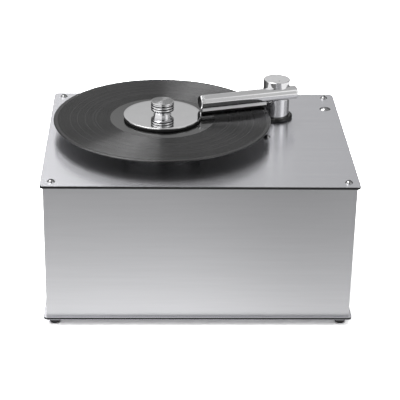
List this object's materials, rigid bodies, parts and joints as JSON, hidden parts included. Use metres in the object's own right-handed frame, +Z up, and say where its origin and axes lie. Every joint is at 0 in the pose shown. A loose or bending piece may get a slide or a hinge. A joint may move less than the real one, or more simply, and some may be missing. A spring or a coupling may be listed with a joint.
{
  "type": "record cleaning machine",
  "caption": "Box-shaped record cleaning machine with a driven platter, a screw-down clamp disc and a hollow suction arm that swings and lifts on a post beside the record.",
  "frame": {"origin": "on the surface it stands on, below the middle of the top plate", "axes": "+X to the right seen from the front, +Y to the back, +Z up; the front panel faces -Y"},
  "size_m": [0.415, 0.33, 0.266],
  "materials": {
    "sheet_skin": "brushed, fine grain, satin",
    "sheet_core": "matt sawn edge",
    "frame_metal": "machined, plain",
    "fastener": "bright stainless",
    "sheet_steel": "zinc plated",
    "black_rubber": "matt black rubber",
    "tank_plastic": "translucent white, satin",
    "clear_plastic": "clear",
    "black_gloss": "polished black",
    "black_plastic": "fine matt moulding",
    "brass": "machined",
    "fuse_glass": "clear tube, plated ends",
    "motor_paint": "satin dark grey",
    "board_green": "satin green",
    "board_part": "satin",
    "platter_metal": "turned, satin",
    "mat_rubber": "matt, fine grain",
    "spindle_steel": "ground",
    "vinyl": "pressed grooves, glossy",
    "mirror_metal": "polished to a mirror, turned top",
    "arm_metal": "polished",
    "pivot_metal": "ground stainless",
    "velvet": "short black pile"
  },
  "bodies": {
    "cabinet": {"top_plate": "sheet_core", "bottom_plate": "sheet_core", "plate_skins": "sheet_skin", "front_panel": "sheet_core", "rear_panel": "sheet_core", "left_panel": "sheet_core", "right_panel": "sheet_core", "panel_skins": "sheet_skin", "corner_posts": "frame_metal", "deck_screws": "fastener", "feet": "black_rubber", "foot_studs": "fastener", "partition_wall": "sheet_steel", "tank": "tank_plastic", "tank_lid": "tank_plastic", "level_strip": "clear_plastic", "drain_spout": "black_plastic", "arm_base_ring": "black_gloss", "arm_base_tube": "frame_metal", "arm_bushes": "brass", "deck_plug": "arm_metal", "bearing_housing": "frame_metal", "spindle_bushes": "brass", "drive_bracket": "sheet_steel", "bracket_standoffs": "frame_metal", "bracket_screws": "fastener", "gearbox": "frame_metal", "drive_motor": "motor_paint", "vacuum_mount": "black_rubber", "vacuum_motor": "motor_paint", "fan_housing": "frame_metal", "suction_hose": "black_rubber", "exhaust_grille": "black_plastic", "mains_inlet": "black_plastic", "inlet_pins": "brass", "control_board": "board_green", "board_parts": "board_part", "switch_frames": "black_plastic"},
    "platter": {"platter": "platter_metal", "platter_mat": "mat_rubber", "spindle": "spindle_steel", "record": "vinyl", "shaft_coupling": "frame_metal", "output_shaft": "spindle_steel"},
    "clamp": {"clamp_disc": "mirror_metal", "clamp_seal": "black_rubber"},
    "knob": {"clamp_knob": "mirror_metal", "clamp_ring": "spindle_steel"},
    "arm_pivot": {"pivot_tube": "pivot_metal", "arm_key": "spindle_steel"},
    "arm": {"arm_head": "arm_metal", "arm_tube": "arm_metal", "arm_end_caps": "arm_metal", "mouth_bar": "arm_metal", "mouth_pads": "velvet"},
    "vacuum_rocker": {"vacuum_rocker": "black_gloss"},
    "drive_rocker": {"drive_rocker": "black_gloss"},
    "fuse_drawer": {"fuse_drawer": "black_plastic", "fuse": "fuse_glass"},
    "drain_plug": {"drain_plug": "black_plastic"}
  },
  "joints": [
    {"name": "platter_spin", "type": "hinge", "parent": "cabinet", "child": "platter", "pos_m": [-0.0486, 0.012, 0.2], "axis": [0, 0, 1], "continuous": true},
    {"name": "clamp_lift", "type": "slide", "parent": "platter", "child": "clamp", "axis": [0, 0, 1], "range_m": [0, 0.015]},
    {"name": "clamp_knob_turn", "type": "hinge", "parent": "clamp", "child": "knob", "pos_m": [-0.0486, 0.012, 0.2366], "axis": [0, 0, 1], "range_deg": [0, 5400]},
    {"name": "arm_swing", "type": "hinge", "parent": "cabinet", "child": "arm_pivot", "pos_m": [0.1145, 0.075, 0.209], "axis": [0, 0, 1], "range_deg": [0, 90]},
    {"name": "arm_lift", "type": "slide", "parent": "arm_pivot", "child": "arm", "axis": [0, 0, 1], "range_m": [0, 0.008]},
    {"name": "vacuum_rocker_tip", "type": "hinge", "parent": "cabinet", "child": "vacuum_rocker", "pos_m": [-0.2005, -0.112, 0.1636], "axis": [0, 1, 0], "range_deg": [0, 20]},
    {"name": "drive_rocker_tip", "type": "hinge", "parent": "cabinet", "child": "drive_rocker", "pos_m": [-0.2005, -0.082, 0.1636], "axis": [0, 1, 0], "range_deg": [-10, 10]},
    {"name": "fuse_drawer_pull", "type": "slide", "parent": "cabinet", "child": "fuse_drawer", "axis": [0, 1, 0], "range_m": [0, 0.015]},
    {"name": "drain_plug_pull", "type": "slide", "parent": "cabinet", "child": "drain_plug", "axis": [0, 1, 0], "range_m": [0, 0.018]}
  ],
  "couplings": [
    {"joint": "clamp_knob_turn", "follows": "clamp_lift", "rad_per_m": 6283.2}
  ]
}
